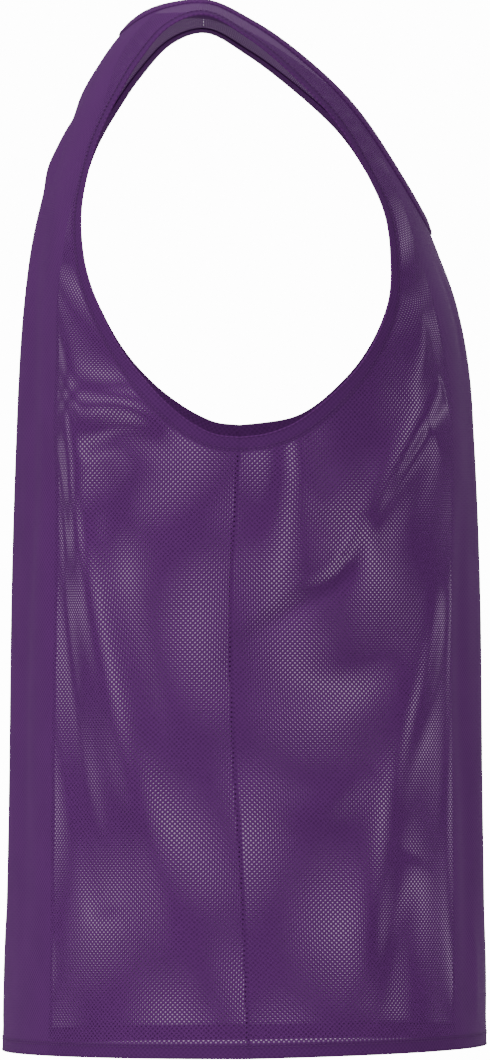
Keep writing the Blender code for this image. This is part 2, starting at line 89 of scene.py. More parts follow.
CURVE_FINENESS = 40        # points of a smooth curve for each step that is taken along it
TINY = 0.01                # two places or heights closer than this are the same
NO_LENGTH = 1e-9           # least squared length of a stretch, so that nothing is divided by 0

Ring = namedtuple("Ring", "z front_y back_y side_x side_y front_full back_full")
RINGS = (
    Ring(HEM_Z, -193.5, 137, 212, -32, 2.25, 2.25),
    Ring(-600, -191.5, 133.5, 210, -28, 2.25, 2.25),
    Ring(-480, -189, 130.5, 208, -21, 2.3, 2.25),
    Ring(-380, -186.5, 128, 206, -20, 2.35, 2.3),
    Ring(-320, -184.5, 126.5, 206, -24, 2.4, 2.3),
    Ring(-285, -183, 125.5, 206, -25, 2.4, 2.35),
    Ring(-250, -181, 124.5, 206, -25, 2.4, 2.35),
)
Yoke = namedtuple("Yoke", "y z side_x side_y side_z full")
YOKES = {
    "front": (
        Yoke(-172.5, -200, 206, -24, -224, 2.4),
        Yoke(-159, -160, 206, -23, -200, 2.35),
        Yoke(-141, -110, 207, -21, -170, 2.3),
        Yoke(-107.5, -54, 210, -17, -119, 2.25),
        Yoke(-77, -24.5, 214, -12, -91, 2.2),
        Yoke(-38, 2, 218, -5, -64, 2.15),
        Yoke(0, 16.5, 220, 0, -46, 2.1),
    ),
    "back": (
        Yoke(121.5, -200, 206, -21, -220, 2.35),
        Yoke(115, -150, 206, -16, -186, 2.3),
        Yoke(102, -100, 207, -10, -150, 2.25),
        Yoke(92, -71, 208.5, -7, -131, 2.22),
        Yoke(78, -44, 210, -4, -106, 2.2),
        Yoke(60, -17, 214, -2, -81, 2.15),
        Yoke(32, 9.5, 218, 0, -58, 2.1),
        Yoke(0, 16.5, 220, 0, -46, 2.1),
    ),
}

# The cut as (across, height): armhole edges from the side seam up, and neck edges from the centre
# line out.
ARMHOLES = {
    "front": ((264, 425), (241, 439), (221, 456), (186, 500), (156, 543), (141, 580), (144, 630),
              (153, 690), (157, 748)),
    "back": ((258, 427), (237, 443), (219, 462), (188, 507), (160, 550), (145, 587), (143, 630),
             (150, 680), (157, 728)),
}
NECKS = {
    "front": ((0, 569), (22, 571), (45, 578), (66, 593), (83, 618), (95, 651), (104, 693),
              (110, 744)),
    "back": ((0, 715), (30, 718), (57, 727), (83, 739), (103, 755)),
}
# The closed-knit middle of each panel, which has no holes, as (height, half width).
CLOSED_MIDDLE = {
    "front": ((0, 124), (240, 115), (440, 104), (500, 110), (560, 104), (800, 96)),
    "back": ((0, 144), (240, 138), (400, 131), (480, 138), (560, 130), (660, 130), (700, 104),
             (800, 100)),
}

# How the knit lies in each panel, in millimetres at its side seam or its top: shifted to the left,
# leaning and bowed to the left as it goes up, and slanting upwards to the left, more so higher up.
# These decide where near and far holes line up and show bright patches. A search in a scratch
# script found them, by comparing where the patches would be with where the photo has them.
Grain = namedtuple("Grain", "shift lean bow slant twist")
GRAINS = {
    "front": Grain(0.76, -0.41, -1.02, 2.84, -3.13),
    "back": Grain(1.23, 0.67, -1.05, 4.5, -0.85),
}
GRAIN_ACROSS, GRAIN_UP = 300.0, 700.0

# The main folds, as in the solids. A route is (girth, height): girth 0 is the front's centre line,
# QUARTER the right side seam, 2 QUARTER the back's centre line, and below 0 lies the left side.
Fold = namedtuple("Fold", "lift width route")
# Both sides have the same folds. Each is given at the right, with its lift there and at the left.
SideFold = namedtuple("SideFold", "lift left_lift width route")
SIDE_FOLDS = (
    # back: the long ridge that falls from the shoulder blade to the hem
    SideFold(5.5, 4.5, 17, ((458, 540), (438, 465), (430, 396), (405, 308), (383, 229), (352, 110),
                            (338, 40))),
    SideFold(-4.0, -3.5, 15, ((478, 430), (463, 389), (447, 290), (425, 190), (400, 90))),
    SideFold(-3.5, -3.5, 15, ((405, 400), (385, 309), (358, 229), (335, 134))),
    # under the arm
    SideFold(4.0, 4.0, 12, ((430, 430), (388, 441), (350, 425))),
    SideFold(-3.0, -3.0, 11, ((425, 410), (385, 420), (345, 405))),
    SideFold(4.0, 4.0, 12, ((292, 408), (265, 392), (237, 376), (218, 398))),
    # front: the drag from the chest, the crease below it and the long fall
    SideFold(5.5, 4.5, 15, ((121, 453), (159, 430), (195, 390), (222, 336))),
    SideFold(-3.5, -3.5, 13, ((140, 418), (172, 388), (200, 350))),
    SideFold(-5.0, -4.0, 12, ((215, 368), (223, 328), (255, 311), (292, 280))),
    SideFold(-5.0, -4.5, 18, ((306, 275), (255, 250), (220, 254), (176, 283))),
    SideFold(5.0, 4.0, 17, ((133, 320), (155, 262), (181, 207), (207, 120), (220, 25))),
    SideFold(-3.0, -3.0, 16, ((170, 130), (190, 70), (196, 20))),
    SideFold(3.0, 3.0, 13, ((147, 517), (152, 480), (174, 443))),
    SideFold(2.5, 2.5, 14, ((297, 183), (258, 165), (206, 192))),
)
MIDDLE_FOLDS = (
    # front centre and back centre, soft falls
    Fold(3.0, 20, ((24, 540), (40, 440), (34, 330), (50, 190), (44, 40))),
    Fold(-2.5, 18, ((-30, 500), (-44, 380), (-62, 250), (-56, 60))),
    Fold(2.5, 20, ((-92, 360), (-98, 240), (-112, 110), (-108, 20))),
    Fold(-2.5, 16, ((86, 390), (96, 260), (92, 120), (104, 20))),
    Fold(3.0, 20, ((560, 640), (548, 500), (566, 340), (552, 180), (560, 40))),
    Fold(-3.0, 18, ((520, 560), (506, 400), (516, 240), (498, 60))),
    Fold(3.0, 20, ((-540, 600), (-552, 450), (-530, 300), (-538, 130), (-526, 30))),
    Fold(-3.0, 18, ((-498, 520), (-488, 360), (-500, 200), (-484, 50))),
    # across the back, between the shoulder blades
    Fold(-2.5, 13, ((520, 655), (570, 640), (632, 644), (684, 660))),
    Fold(2.5, 13, ((530, 612), (588, 600), (650, 606))),
)
# Smaller creases that only the looks have.
CREASES = (
    # the sharp break of the front crease, at the right and the left
    Fold(2.2, 5, ((214, 372), (220, 346), (229, 330), (252, 318), (276, 304), (300, 284))),
    Fold(-1.8, 6, ((209, 366), (214, 336), (228, 318), (252, 306), (280, 290))),
    Fold(1.4, 6, ((-212, 370), (-219, 346), (-230, 330), (-253, 318), (-277, 303), (-300, 285))),
    Fold(-1.2, 7, ((-208, 364), (-215, 337), (-229, 319), (-252, 307), (-279, 291))),
    # front and back middle
    Fold(1.0, 8, ((10, 556), (4, 520), (10, 486))),
    Fold(-0.9, 8, ((66, 540), (58, 500), (66, 462))),
    Fold(0.9, 8, ((-66, 544), (-72, 506), (-66, 470))),
    Fold(0.9, 9, ((600, 560), (606, 500), (598, 430))),
    Fold(-0.9, 8, ((574, 690), (600, 682), (630, 690))),
    Fold(0.8, 8, ((80, 90), (74, 50), (78, 16))),
    Fold(0.8, 8, ((-16, 96), (-10, 54), (-14, 18))),
    Fold(0.8, 8, ((590, 98), (584, 56), (590, 18))),
    Fold(0.8, 8, ((-470, 92), (-462, 52), (-468, 18))),
)
FOLD_SAMPLES = 16          # stretches along each fold's route
FOLD_TAPER = 0.6           # how softly a fold rises and dies at its ends, 0 for not at all
WHOLE = 4.0 * QUARTER      # girth units all the way round
FLAT_SEAM = 0.6            # a flat-sewn shoulder seam shows as one this much further away
EDGE_FINENESS = 0.8        # stretches along a cut edge, as a share of the net's step
ROW_RISE = 0.866           # between the net's rows, as a share of its step
EDGE_ROOM = 0.5            # between the net and the cut edge, as a share of its step
SEAM_SAMPLES = 40          # heights at which the widest place of a panel is looked for

# ---- finishes -----------------------------------------------------------------------------------
PURPLE = "5F2B6E"          # dyed polyester knit, seen flat in soft light
PURPLE_DEEP = "3A1748"     # the shade between its yarns
PURPLE_DOUBLE = "5D2A6B"   # where the knit is doubled
THREAD = "6A3A78"          # the sewing thread, a little lighter than the cloth as a painted highlight
THROUGH_HUE = "F0D2F8"     # white surroundings seen through the cloth
STUDIO_WHITE = "F4F4F2"    # the floor


def linear(hex_colour):
    """An sRGB hex value as linear RGB."""
    steps = [int(hex_colour[k:k + 2], 16) / 255.0 for k in (0, 2, 4)]
    return [s / 12.92 if s <= 0.04045 else ((s + 0.055) / 1.055) ** 2.4 for s in steps]


# ---- the form worked out ------------------------------------------------------------------------
def glide(stations, values, at):
    """Values at the places asked for, on a smooth curve through the stations."""
    stations = np.asarray(stations, float)
    values = np.asarray(values, float)
    at = np.asarray(at, float)
    slope = np.gradient(values, stations, axis=0)
    low = np.clip(np.searchsorted(stations, at, side="right") - 1, 0, len(stations) - 2)
    span = stations[low + 1] - stations[low]
    part = (at - stations[low]) / span
    if values.ndim > 1:
        part, span = part[..., None], span[..., None]
    rest = 1.0 - part
    return ((1.0 + 2.0 * part) * rest ** 2 * values[low] + part * rest ** 2 * span * slope[low]
            + part ** 2 * (3.0 - 2.0 * part) * values[low + 1]
            - part ** 2 * rest * span * slope[low + 1])


def run_of(line):
    """How far along a line each of its points is."""
    return np.concatenate([[0.0], np.cumsum(np.linalg.norm(np.diff(line, axis=0), axis=1))])


def even_points(corners, steps):
    """Points at even distances along a smooth curve through the corners."""
    corners = np.asarray(corners, float)
    reach = run_of(corners)
    fine = glide(reach, corners, np.linspace(0.0, reach[-1], CURVE_FINENESS * steps + 1))
    length = run_of(fine)
    wanted = np.linspace(0.0, length[-1], steps + 1)
    return np.stack([np.interp(wanted, length, fine[:, axis]) for axis in (0, 1)], axis=1)


def ease(low, high, value):
    """0 below low and 1 above high, with a smooth rise between."""
    part = np.clip((value - low) / (high - low), 0.0, 1.0)
    return part * part * (3.0 - 2.0 * part)


def unit(vectors):
    return vectors / np.linalg.norm(vectors, axis=-1, keepdims=True)


def nearest_on(points, line):
    """Each point's distance from an open line, and its nearest place on it, from 0 to 1."""
    nearest, along = np.full(len(points), np.inf), np.zeros(len(points))
    for k, (start, stop) in enumerate(zip(line[:-1], line[1:])):
        way = stop - start
        part = np.clip((points - start) @ way / max(way @ way, NO_LENGTH), 0.0, 1.0)
        away = np.linalg.norm(points - start - part[:, None] * way, axis=1)
        closer = away < nearest
        along[closer] = (k + part[closer]) / (len(line) - 1)
        nearest[closer] = away[closer]
    return nearest, along


def both_sides(folds):
    """Each fold of the sides at the right, and mirrored to the left with its own lift there."""
    for fold in folds:
        yield Fold(fold.lift, fold.width, fold.route)
        yield Fold(fold.left_lift, fold.width, [(-girth, height) for girth, height in fold.route])


ROUTES = [(fold, even_points(fold.route, FOLD_SAMPLES))
          for fold in (*both_sides(SIDE_FOLDS), *MIDDLE_FOLDS, *CREASES)]


def fold_lift(girth, height):
    """How far the folds and creases lift the cloth at each (girth, height)."""
    lift = np.zeros(girth.shape)
    for fold, route in ROUTES:
        middle = 0.5 * (route.min(axis=0) + route.max(axis=0))
        reach = 0.5 * np.ptp(route, axis=0) + 3.0 * fold.width
        off = girth - middle[0]
        off = off - WHOLE * np.round(off / WHOLE)
        near = np.nonzero((np.abs(off) < reach[0]) & (np.abs(height - middle[1]) < reach[1]))
        if len(near[0]) == 0:
            continue
        places = np.stack([off[near] + middle[0], height[near]], axis=1)
        nearest, along = nearest_on(places, route)
        taper = (4.0 * along * (1.0 - along)) ** FOLD_TAPER
        lift[near] += fold.lift * taper * np.exp(-(nearest / fold.width) ** 2)
    return lift


class WornPanel:
    """One body panel: its cut edges in the flat, and where its cloth lies when it is worn."""

    def __init__(self, name):
        self.name = name
        self.outward = 1.0 if name == "front" else -1.0
        beyond_seam = YOKES["back" if name == "front" else "front"][-2]
        self.rows = np.array(
            [(getattr(r, name + "_y"), r.z, r.side_x, r.side_y, r.z, getattr(r, name + "_full"))
             for r in RINGS] + list(YOKES[name]) + [beyond_seam], float)
        climb = np.hypot(*np.diff(self.rows[:, :2], axis=0).T)
        rings = len(RINGS)
        yoke_heights = self.rows[rings - 1, 1] - HEM_Z + np.cumsum(climb[rings - 1:])
        self.heights = np.concatenate([self.rows[:rings, 1] - HEM_Z, yoke_heights])
        self.top = self.heights[-2]
        self.reach = self.top + SHOULDER_REACH
        self._measure_rows()

    def _measure_rows(self):
        """Tables that turn a distance across a row into the angle round its section."""
        self.levels = np.linspace(0.0, self.reach, LEVEL_SAMPLES)
        angles = np.linspace(0.0, 0.5 * np.pi, ANGLE_SAMPLES)
        level_grid, angle_grid = np.meshgrid(self.levels, angles, indexing="ij")
        points = self._section(level_grid, angle_grid)
        steps = np.linalg.norm(np.diff(points, axis=1), axis=2)
        lengths = np.pad(np.cumsum(steps, axis=1), ((0, 0), (1, 0)))
        self.quarters = lengths[:, -1]
        self.shares = np.linspace(0.0, 1.0, SHARE_SAMPLES)
        self.angles = np.array([np.interp(self.shares * row[-1], row, angles) for row in lengths])

    def _section(self, height, angle):
        """The point at an angle round the section at a height, on the +X side."""
        row = glide(self.heights, self.rows, height)
        y, z, side_x, side_y, side_z, full = np.moveaxis(row, -1, 0)
        out = np.sin(angle) ** (2.0 / full)
        back = 1.0 - np.clip(np.cos(angle), 0.0, 1.0) ** (2.0 / full)
        return np.stack([side_x * out, y + (side_y - y) * back, z + (side_z - z) * back], axis=-1)

    def seam(self, height):
        """Distance across the cloth from the centre line to the side seam."""
        return np.interp(height, self.levels, self.quarters)

    def form(self, across, height):
        """The plain worn form, with no folds in it."""
        share = np.clip(np.abs(across) / self.seam(height), 0.0, 1.0) * (len(self.shares) - 1)
        level = height / self.reach * (len(self.levels) - 1)
        i = np.clip(level.astype(int), 0, len(self.levels) - 2)
        j = np.clip(share.astype(int), 0, len(self.shares) - 2)
        u, v = level - i, share - j
        angle = ((1 - u) * (1 - v) * self.angles[i, j] + (1 - u) * v * self.angles[i, j + 1]
                 + u * (1 - v) * self.angles[i + 1, j] + u * v * self.angles[i + 1, j + 1])
        point = self._section(height, angle)
        point[..., 0] *= np.where(across < 0.0, -1.0, 1.0)
        return point

    def _normal(self, place, across, height):
        """Outward direction of a surface that place() describes."""
        limit = self.seam(height)
        left = np.clip(across - SLOPE_STEP, -limit, limit)
        right = np.clip(across + SLOPE_STEP, -limit, limit)
        low = np.clip(height - SLOPE_STEP, 0.0, self.reach)
        high = np.clip(height + SLOPE_STEP, 0.0, self.reach)
        along = place(right, height) - place(left, height)
        share = across / limit
        up = place(share * self.seam(high), high) - place(share * self.seam(low), low)
        return unit(np.cross(along, up)) * self.outward

    def girth(self, across, height):
        """Where on the way round the body a point of the flat cloth lies."""
        share = across / self.seam(height)
        if self.name == "back":
            return np.where(across < 0.0, 1.0, -1.0) * QUARTER * (2.0 - np.abs(share))
        return -QUARTER * share

    def folded(self, across, height):
        """The worn form with its folds, and with its uneven hang at the left and at the hem."""
        point = self.form(across, height)
        lift = fold_lift(self.girth(across, height), height)
        point = point + lift[..., None] * self._normal(self.form, across, height)
        forward = SIDE_Y - point[..., 1]
        left = ease(*LEFT_RUN, point[..., 0])
        strap = ease(*(self.top - run for run in STRAP_SLIP_RUN), height)
        run = np.where(height < UNDERARM, *UNDERARM_RUN)
        underarm = np.exp(-((height - UNDERARM) / run) ** 2)
        underarm *= 1.0 - ease(*UNDERARM_FADE, forward)
        beside = np.exp(-((height - SPREAD_HEIGHT) / SPREAD_RUN) ** 2)
        rise = np.clip(forward / HEM_RISE_DEPTH, 0.0, 1.0) * np.exp(-height / HEM_RISE_RUN)
        point[..., 2] += left * (UNDERARM_SLIP * underarm - STRAP_SLIP * strap) + HEM_RISE * rise
        point[..., 1] -= ARM_SPREAD * left * beside * self.outward
        return point

    def worn(self, across, height):
        """Where the middle of the cloth lies, and its outward direction."""
        return self.folded(across, height), self._normal(self.folded, across, height)

    def armhole(self, steps):
        """Armhole edge, from the side seam up to the shoulder seam."""
        seam = float(self.seam(UNDERARM))
        corners = [(seam, UNDERARM), (seam - SEAM_START[0], UNDERARM + SEAM_START[1]),
                   *ARMHOLES[self.name], (STRAP_OUTER, self.top)]
        return even_points(corners, steps)

    def neck(self, steps):
        """Neck edge, from the shoulder seam to the centre line."""
        return even_points([*NECKS[self.name], (NECK_HALF, self.top)], steps)[::-1]

    def bottom(self, steps):
        """Bottom edge, from the centre line to the side seam."""
        share = np.linspace(0.0, 1.0, steps + 1)
        return np.stack([share * self.seam(0.0), np.zeros(len(share))], axis=1)

    def inset(self, edge, distance):
        """The line that runs a distance inside an edge, in the flat, ending on the seams."""
        way = unit(np.gradient(edge, axis=0))
        line = edge + distance * np.stack([-way[:, 1], way[:, 0]], axis=1)
        for end in (0, -1):
            across, height = edge[end]
            beyond = across + math.copysign(distance, line[end][0] - across)
            above = height + math.copysign(distance, line[end][1] - height)
            if abs(height - self.top) < TINY:
                line[end] = (beyond, height)
            elif across < TINY:
                line[end] = (0.0, above)
            else:
                line[end] = (float(self.seam(max(above, 0.0))), above)
        return line


def inside(points, loop):
    """Which points lie inside a closed loop, by counting the sides they cross."""
    within = np.zeros(len(points), bool)
    for (ax, ay), (bx, by) in zip(loop, np.roll(loop, -1, axis=0)):
        spans = (ay > points[:, 1]) != (by > points[:, 1])
        if by != ay:
            within ^= spans & (points[:, 0] < ax + (points[:, 1] - ay) / (by - ay) * (bx - ax))
    return within


# ---- making meshes ------------------------------------------------------------------------------
def new_object(name, points, faces, uvs, finish, numbers=None):
    """A smooth object from points in millimetres, with UV maps and named numbers on its points."""
    mesh = bpy.data.meshes.new(name)
    faces = [tuple(int(corner) for corner in face) for face in faces]
    mesh.from_pydata((np.asarray(points) * MM).tolist(), [], faces)
    corners = np.array([loop.vertex_index for loop in mesh.loops])
    for title, uv in uvs.items():
        layer = mesh.uv_layers.new(name=title)
        layer.uv.foreach_set("vector", np.asarray(uv, np.float32)[corners].ravel())
    for key, values in (numbers or {}).items():
        held = mesh.attributes.new(key, "FLOAT", "POINT")
        held.data.foreach_set("value", np.asarray(values, np.float32))
    mesh.shade_smooth()
    mesh.materials.append(finish)
    made = bpy.data.objects.new(name, mesh)
    bpy.context.scene.collection.objects.link(made)
    return made


def doubled_areas(flat, faces):
    """Twice the area of each flat triangle, below 0 where its corners go round clockwise."""
    a, b, c = (flat[faces[:, k]] for k in range(3))
    return (b - a)[:, 0] * (c - a)[:, 1] - (b - a)[:, 1] * (c - a)[:, 0]


def cloth_net(panel, step):
    """Points and triangles of the whole panel in the flat, and its edges for measuring from."""
    def count(length):
        return max(2, int(round(length / (EDGE_FINENESS * step))))

    def finely(edge_line):
        return edge_line(count(run_of(edge_line(CURVE_FINENESS))[-1]))

    armhole, neck = finely(panel.armhole), finely(panel.neck)
    bottom = panel.bottom(count(panel.seam(0.0)))
    heights = np.linspace(0.0, UNDERARM, count(UNDERARM) + 1)
    side = np.stack([panel.seam(heights), heights], axis=1)
    shoulder = np.linspace(armhole[-1], neck[0], count(STRAP_OUTER - NECK_HALF) + 1)
    centre = np.linspace(neck[-1], bottom[0], count(neck[-1][1]) + 1)
    loop = np.concatenate([line[:-1] for line in (bottom, side, armhole, shoulder, neck, centre)])

    # Half the panel is filled with a net of even triangles, and then mirrored.
    columns = np.arange(0.0, panel.quarters.max(), step)
    net = np.array([(x + (0.5 * step if n % 2 else 0.0), row)
                    for n, row in enumerate(np.arange(step, panel.top, ROW_RISE * step))
                    for x in columns])
    net = net[inside(net, loop)]
    net = net[nearest_on(net, np.vstack([loop, loop[:1]]))[0] > EDGE_ROOM * step]
    flat = np.concatenate([loop, net])
    # Every triangle inside the loop is kept, and points closer than a nanometre are joined.
    found = delaunay_2d_cdt([Vector(p) for p in flat], [], [list(range(len(loop)))], 1, 1e-6)
    flat, faces = np.array([tuple(v) for v in found[0]]), np.array(found[2])

    flat[np.abs(flat[:, 0]) < TINY, 0] = 0.0
    clockwise = doubled_areas(flat, faces) < 0.0
    faces[clockwise] = faces[clockwise][:, ::-1]
    off_centre = np.nonzero(flat[:, 0] > 0.0)[0]
    twin = np.arange(len(flat))
    twin[off_centre] = len(flat) + np.arange(len(off_centre))
    whole = np.concatenate([flat, flat[off_centre] * (-1.0, 1.0)])
    faces = np.concatenate([faces, twin[faces][:, ::-1]])
    return whole, faces, {"hem": (armhole, neck, bottom), "side": side, "shoulder": shoulder}


def grain(name, flat):
    """The flat cut as the knit lies in it, for placing its holes."""
    lie = GRAINS[name]
    left, up = flat[:, 0] / GRAIN_ACROSS, flat[:, 1] / GRAIN_UP
    return flat + np.stack([lie.shift + (lie.lean + lie.bow * up) * up,
                            (lie.slant + lie.twist * up) * left], axis=1)


def make_panel(panel, step, finish):
    """The panel's cloth as one sheet, and the area of its flat cut in square metres.

    Its points hold their distances from the hems, the seams, the closed middle and the shoulder.
    """
    flat, faces, edges = cloth_net(panel, step)
    points = panel.folded(flat[:, 0], flat[:, 1])
    half = np.abs(flat)
    from_hem = np.minimum.reduce([nearest_on(half, edge)[0] for edge in edges["hem"]])
    # The shoulder seams are sewn flat, so that they show less than the side seams.
    from_seam = np.minimum(nearest_on(half, edges["side"])[0],
                           nearest_on(half, edges["shoulder"])[0] + FLAT_SEAM)
    from_middle = half[:, 0] - np.interp(half[:, 1], *np.transpose(CLOSED_MIDDLE[panel.name]))
    if panel.outward < 0.0:
        faces = faces[:, ::-1]
    spread = (flat - flat.min(axis=0)) / np.ptp(flat, axis=0)
    made = new_object(panel.name + "_cloth", points, faces,
                      {"cloth": grain(panel.name, flat), "OFBake": spread}, finish,
                      {"from_hem": from_hem, "from_seam": from_seam, "from_middle": from_middle,
                       "from_shoulder": panel.top - flat[:, 1]})
    return made, 0.5 * np.abs(doubled_areas(flat, faces)).sum() * MM * MM


# A section is (inset, offset) points: how far in from the cloth's edge, and how far out from its
# middle along its outward direction.
TURNED_HEM = ((0.5, 0.25), (-0.15, 0.2), (-0.5, -0.2), (-0.4, -0.75), (0.3, -1.1), (2.5, -1.15),
              (5.0, -1.1), (7.5, -1.1), (9.0, -1.0), (9.4, -0.6))
FOLDED_BINDING = ((9.0, -0.45), (8.6, -0.95), (5.0, -1.05), (1.5, -1.1), (-0.5, -0.8), (-1.1, 0.0),
                  (-0.9, 0.7), (-0.1, 1.1), (2.0, 1.25), (5.0, 1.25), (8.6, 1.15), (9.9, 0.9),
                  (10.4, 0.5), (10.5, 0.1))
ALLOWANCE = ((0.2, -0.4), (0.2, -1.0), (0.9, -1.5), (2.2, -1.5), (3.3, -1.3), (3.6, -0.9),
             (3.4, -0.4))
ALLOWANCE_WIDTH = 0.6      # share of that section's width that is left after trimming
ALLOWANCE_ENDS = (4.0, UNDERARM - 5.0)    # flat heights where it starts and stops
ALLOWANCE_ROWS = 80        # rows of points between those

# Rows of stitches: how far in from the edge, and how high over the cloth's middle.
COVERSTITCH = ((7.4, 0.3), (9.0, 0.3))
BINDING_STITCH = ((8.2, 1.2),)
STITCH_PITCH = 3.0         # from one stitch to the next
STITCH_LENGTH = 2.3
STITCH_RADIUS = 0.24
STITCH_SIDES = 5
# A stitch is thin and pulled into the cloth at its ends: (share of its length, thickness, height).
STITCH_SHAPE = ((-0.5, 0.4, -0.2), (0.0, 1.0, 0.0), (0.5, 0.4, -0.2))

# Stretches along each cut edge of the front and of the back, for sweeping bands along them.
EDGE_STEPS = {"armhole": (120, 120), "bottom": (70, 70), "neck": (90, 50)}
PANELS = {}


def panel_of(name):
    """The worn panel of that name, worked out once."""
    if name not in PANELS:
        PANELS[name] = WornPanel(name)
    return PANELS[name]


def edge_pair(kind):
    """Both panels, each with its cut edge of that kind."""
    return [(panel_of(name), getattr(panel_of(name), kind)(steps))
            for name, steps in zip(("front", "back"), EDGE_STEPS[kind])]


def hem_stretch(panel, edge, section, side, forward):
    """A hem's points on one side of a panel: one row of section points for each edge point."""
    mirror = np.array((side, 1.0))
    columns = []
    for inset, offset in section:
        place, away = panel.worn(*(panel.inset(edge, max(inset, 0.0)) * mirror).T)
        if inset < 0.0:
            inner = panel.worn(*(panel.inset(edge, 1.0) * mirror).T)[0]
            place = place + inset * unit(inner - place)
        columns.append(place + offset * away)
    rows = np.stack(columns, axis=1)
    return rows if forward else rows[::-1]


def ring_of(stretches):
    """Joins stretches end to end into a closed ring, averaging the rows where two of them meet."""
    ring = []
    for k, rows in enumerate(stretches):
        ring.append(0.5 * (stretches[k - 1][-1] + rows[0])[None])
        ring.append(rows[1:-1])
    return np.concatenate(ring)


def round_body(kind, section, inward):
    """A band's points right round the body: front right, front left, back left and back right.

    Inward says that the edge lines run towards the centre line, as the neck's do.
    """
    (front, front_edge), (back, back_edge) = edge_pair(kind)
    return ring_of([hem_stretch(front, front_edge, section, -1.0, inward),
                    hem_stretch(front, front_edge, section, 1.0, not inward),
                    hem_stretch(back, back_edge, section, 1.0, inward),
                    hem_stretch(back, back_edge, section, -1.0, not inward)])


def sweep(name, rows, section, finish, closed):
    """A band whose rows of section points follow one another, with (length, inset) as its UV."""
    count, wide = rows.shape[:2]
    lines = np.concatenate([rows, rows[:1]]) if closed else rows
    length = run_of(lines.mean(axis=1))
    total = len(lines)
    uv = [(length[i], section[j][0] if j * 2 < wide or section[j][0] > 0 else 0.0)
          for i in range(total) for j in range(wide)]
    faces = []
    for i in range(total - 1):
        for j in range(wide - 1):
            a, b = i * wide + j, i * wide + j + 1
            faces.append((a, b, b + wide, a + wide))
    made = new_object(name, lines.reshape(-1, 3), faces, {"cloth": uv}, finish)
    if closed:
        net = bmesh.new()
        net.from_mesh(made.data)
        net.verts.ensure_lookup_table()
        ends = {net.verts[count * wide + j]: net.verts[j] for j in range(wide)}
        bmesh.ops.weld_verts(net, targetmap=ends)
        net.to_mesh(made.data)
        net.free()
    return made


def side_allowance(name, side, finish):
    """The seam allowance of a side seam, pressed to the inside of the back panel."""
    back = panel_of("back")
    heights = np.linspace(*ALLOWANCE_ENDS, ALLOWANCE_ROWS)
    columns = []
    for inset, offset in ALLOWANCE:
        across = side * (back.seam(heights) - ALLOWANCE_WIDTH * inset)
        place, away = back.worn(across, heights)
        columns.append(place + offset * away)
    return sweep(name, np.stack(columns, axis=1), ALLOWANCE, finish, False)


def add_stitches(name, rows, finish):
    """Short raised stitches along rows of (place, place one millimetre further out)."""
    points, uv = [], []
    for base, beyond in rows:
        length = run_of(base)
        middles = np.arange(0.5 * STITCH_PITCH, length[-1], STITCH_PITCH)

        def at(places, line):
            return np.stack([np.interp(places, length, line[:, k]) for k in range(3)], axis=1)

        place, out = at(middles, base), unit(at(middles, beyond - base))
        way = unit(at(middles + 0.5, base) - at(middles - 0.5, base))
        side = unit(np.cross(way, out))
        corners, corner_uv = [], []
        for along, thick, height in STITCH_SHAPE:
            middle = place + along * STITCH_LENGTH * way + height * out
            for turn in np.arange(STITCH_SIDES) * (2.0 * math.pi / STITCH_SIDES):
                round_it = math.cos(turn) * side + math.sin(turn) * out
                corners.append(middle + thick * STITCH_RADIUS * round_it)
                corner_uv.append(np.stack([middles + along * STITCH_LENGTH, 0.0 * middles + turn],
                                          axis=1))
        points.append(np.stack(corners, axis=1).reshape(-1, 3))
        uv.append(np.stack(corner_uv, axis=1).reshape(-1, 2))

    # One stitch is a tube of rings, closed at both ends. The others have the same faces.
    rings = np.arange(len(STITCH_SHAPE) * STITCH_SIDES).reshape(-1, STITCH_SIDES)
    stitch = [rings[0][::-1], rings[-1]]
    for low, high in zip(rings[:-1], rings[1:]):
        stitch += list(np.stack([np.roll(low, 1), low, high, np.roll(high, 1)], axis=1))
    points = np.concatenate(points)
    faces = [face + first for first in range(0, len(points), rings.size) for face in stitch]
    return new_object(name, points, faces, {"cloth": np.concatenate(uv)}, finish)


# ---- materials ----------------------------------------------------------------------------------
# A fade goes from start to end while a distance held on the mesh's points goes from low to high.
Fade = namedtuple("Fade", "number low high start end")
# How open the holes are. They are closed in the hems' doubled cloth, at the seams and in the middle
# of the panel, and the straps carry the bib's weight, which draws their holes narrow.
OPENNESS = (Fade("from_hem", 9.4, 12.0, 0.0, 1.0), Fade("from_seam", 0.3, 0.9, 0.0, 1.0),
            Fade("from_middle", 0.0, 0.6, 0.0, 1.0), Fade("from_shoulder", 150.0, 235.0, 0.4, 1.0))
# Painted shade in the cloth's colour: darker where it is doubled at the hems, for the shade at their
# curled edges, a little darker in its open mesh, for the shade between its yarns, and darker in the
# seams, for the shade in their groove.
PAINTED_SHADE = (Fade("from_hem", 9.2, 10.4, 0.84, 1.0), Fade("from_middle", -1.0, 1.0, 1.0, 0.9),
             Fade("from_seam", 0.0, 0.8, 0.75, 1.0))
# The seam lies in a soft groove, and the hems stand a little prouder than the single cloth.
RELIEF = (Fade("from_seam", 0.0, 2.2, 0.0, 1.6), Fade("from_hem", 8.8, 10.2, 1.2, 0.0))
RELIEF_DEPTH = 0.3         # how high a rib of yarn stands
FILAMENTS = 0.22           # share of a hole that its fine stray filaments cover
HOLE_EDGE = (0.8, 1.15)    # of a hole's radius: where it is open, and where it is closed
RIB_RISE = (0.1, 0.62)     # of the distance between holes: where a rib of yarn starts and is whole
PATCH_SIZE = 45.0          # how wide the dye's uneven patches are
ROUGHEST = 0.85            # in the hollows between the yarns
# Textured polyester yarn has hardly any gloss, and a faint sheen of its own colour.
MATT_YARN = {"Specular_IOR_Level": 0.08, "Sheen_Weight": 0.03, "Sheen_Roughness": 0.45}


